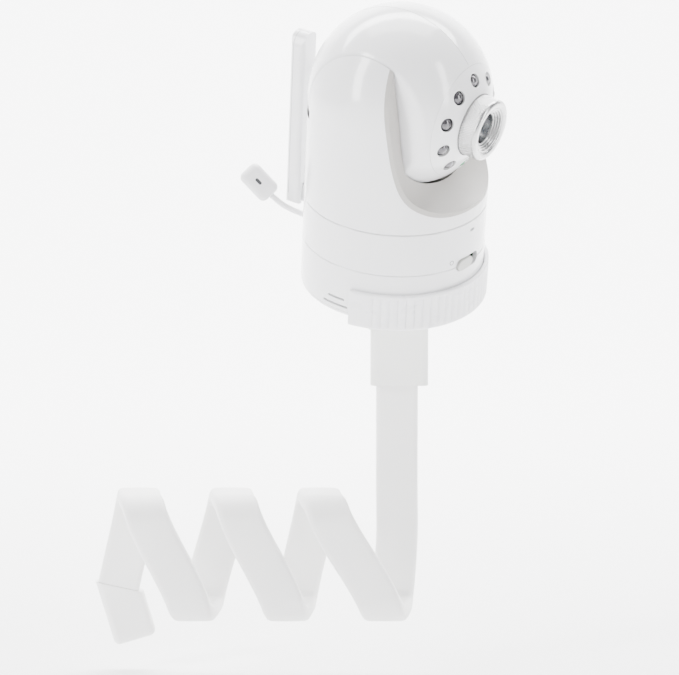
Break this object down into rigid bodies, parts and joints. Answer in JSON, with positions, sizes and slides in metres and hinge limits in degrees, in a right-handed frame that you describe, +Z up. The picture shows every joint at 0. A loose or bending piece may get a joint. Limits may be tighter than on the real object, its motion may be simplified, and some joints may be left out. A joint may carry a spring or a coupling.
{
  "type": "baby monitor camera",
  "caption": "Pan-and-tilt baby monitor camera held in a ribbed cradle on a flat flexible arm that winds round a crib rail.",
  "frame": {"origin": "middle of the cross-section of the rail that the arm grips, in the plane of the arm's upright", "axes": "+Z up, +X along the rail away from the wraps, +Y from the viewer towards the back"},
  "size_m": [0.185, 0.1128, 0.2948],
  "materials": {
    "shell_white": "moulded gloss white",
    "liner_grey": "fine satin warm grey",
    "cradle_white": "satin white, slightly milky",
    "arm_rubber": "soft-touch white rubber",
    "neck_white": "satin off-white",
    "core_steel": "annealed steel strip",
    "fastener_steel": "plated steel",
    "lens_metal": "satin, diamond knurled",
    "lens_black": "matt black",
    "lens_glass": "coated glass",
    "led_clear": "smoked clear epoxy",
    "sensor_green": "green filtered epoxy",
    "switch_grey": "satin grey",
    "light_pipe": "smoked light pipe",
    "board_green": "solder resist",
    "chip_black": "moulded epoxy",
    "motor_metal": "drawn steel can",
    "gear_nylon": "natural nylon",
    "feet_rubber": "soft rubber",
    "speaker_black": "paper cone and steel basket",
    "lead_white": "white PVC sleeve"
  },
  "bodies": {
    "rail_arm": {"arm_lower": "arm_rubber", "arm_core_lower": "core_steel", "arm_end_cap": "arm_rubber"},
    "neck": {"arm_upper": "arm_rubber", "arm_core_upper": "core_steel", "neck_sleeve": "neck_white", "neck_screws": "fastener_steel", "pivot_bolt": "fastener_steel", "pivot_nut": "fastener_steel"},
    "cradle": {"cradle": "cradle_white"},
    "camera_base": {"base_foot_cover": "shell_white", "rubber_feet": "feet_rubber", "base_tub": "shell_white", "base_collar": "shell_white", "status_light": "light_pipe", "base_screws": "fastener_steel", "base_board": "board_green", "board_parts": "chip_black", "speaker": "speaker_black", "power_inlet": "lens_black", "switch_body": "chip_black", "button_switch": "chip_black", "pan_bearing_ring": "gear_nylon", "pan_motor": "motor_metal", "aerial_bracket": "shell_white", "aerial_pin": "fastener_steel", "sensor_gland": "lead_white", "sensor_lead": "lead_white", "sensor_head": "shell_white"},
    "power_knob": {"switch_knob": "switch_grey"},
    "pairing_button": {"pairing_button": "switch_grey"},
    "aerial": {"aerial_blade": "shell_white"},
    "pan_pinion": {"pan_pinion": "gear_nylon"},
    "turret": {"pan_gear": "gear_nylon", "spindle_clip": "fastener_steel", "turntable": "neck_white", "turntable_screws": "fastener_steel", "upper_shell_left": "shell_white", "upper_shell_right": "shell_white", "cup_liner": "liner_grey", "tilt_hub_left": "gear_nylon", "tilt_hub_right": "gear_nylon", "tilt_gear": "gear_nylon"},
    "head": {"head_shell_left": "shell_white", "head_shell_right": "shell_white", "face_plate": "shell_white", "ir_leds": "led_clear", "light_sensor": "sensor_green", "led_board": "board_green", "lens_holder": "lens_black", "image_board": "board_green", "image_sensor": "chip_black", "tilt_bushes": "gear_nylon", "tilt_motor": "motor_metal"},
    "tilt_pinion": {"tilt_pinion": "gear_nylon"},
    "lens_seal": {"lens_seal": "feet_rubber"},
    "lens": {"lens_barrel": "lens_metal", "lens_cell": "lens_metal", "lens_glass": "lens_glass"}
  },
  "joints": [
    {"name": "arm_flex", "type": "hinge", "parent": "rail_arm", "child": "neck", "pos_m": [0, 0.0168, 0.034], "axis": [1, 0, 0], "range_deg": [-25, 25]},
    {"name": "cradle_tilt", "type": "hinge", "parent": "neck", "child": "cradle", "pos_m": [-0.0031, 0.01678, 0.11321], "axis": [1, 0, 0], "range_deg": [-22, 20]},
    {"name": "camera_lift", "type": "slide", "parent": "cradle", "child": "camera_base", "axis": [0.038, -0.3767, 0.9256], "range_m": [0, 0.05]},
    {"name": "power_switch", "type": "slide", "parent": "camera_base", "child": "power_knob", "axis": [0.6007, 0.7488, 0.2801], "range_m": [0, 0.005]},
    {"name": "pairing_press", "type": "slide", "parent": "camera_base", "child": "pairing_button", "axis": [-0.3171, -0.8829, -0.3463], "range_m": [0, 0.0008], "stiffness_N_per_m": 300},
    {"name": "aerial_fold", "type": "hinge", "parent": "camera_base", "child": "aerial", "pos_m": [-0.04468, 0.02601, 0.16351], "axis": [-0.5369, -0.7889, -0.299], "range_deg": [0, 90]},
    {"name": "pan", "type": "hinge", "parent": "camera_base", "child": "turret", "pos_m": [-0.00102, -0.00386, 0.16393], "axis": [0.038, -0.3767, 0.9256], "range_deg": [-135, 135]},
    {"name": "pan_drive", "type": "hinge", "parent": "camera_base", "child": "pan_pinion", "pos_m": [0.00899, 0.01422, 0.16245], "axis": [0.038, -0.3767, 0.9256], "range_deg": [-410, 410]},
    {"name": "tilt", "type": "hinge", "parent": "turret", "child": "head", "pos_m": [0.00083, -0.0223, 0.20924], "axis": [0.5369, 0.7889, 0.299], "range_deg": [-60, 25]},
    {"name": "tilt_drive", "type": "hinge", "parent": "head", "child": "tilt_pinion", "pos_m": [-0.01949, -0.03902, 0.21427], "axis": [0.5369, 0.7889, 0.299], "range_deg": [-125, 55]},
    {"name": "lens_travel", "type": "slide", "parent": "head", "child": "lens_seal", "axis": [0.8363, -0.4509, -0.312], "range_m": [0, 0.0075]},
    {"name": "lens_turn", "type": "hinge", "parent": "lens_seal", "child": "lens", "pos_m": [0.03429, -0.04034, 0.19676], "axis": [0.8363, -0.4509, -0.312], "range_deg": [0, 1800]}
  ],
  "couplings": [
    {"joint": "pan_drive", "follows": "pan", "ratio": -3},
    {"joint": "tilt_drive", "follows": "tilt", "ratio": 2},
    {"joint": "lens_turn", "follows": "lens_travel", "rad_per_m": 4188.8}
  ]
}
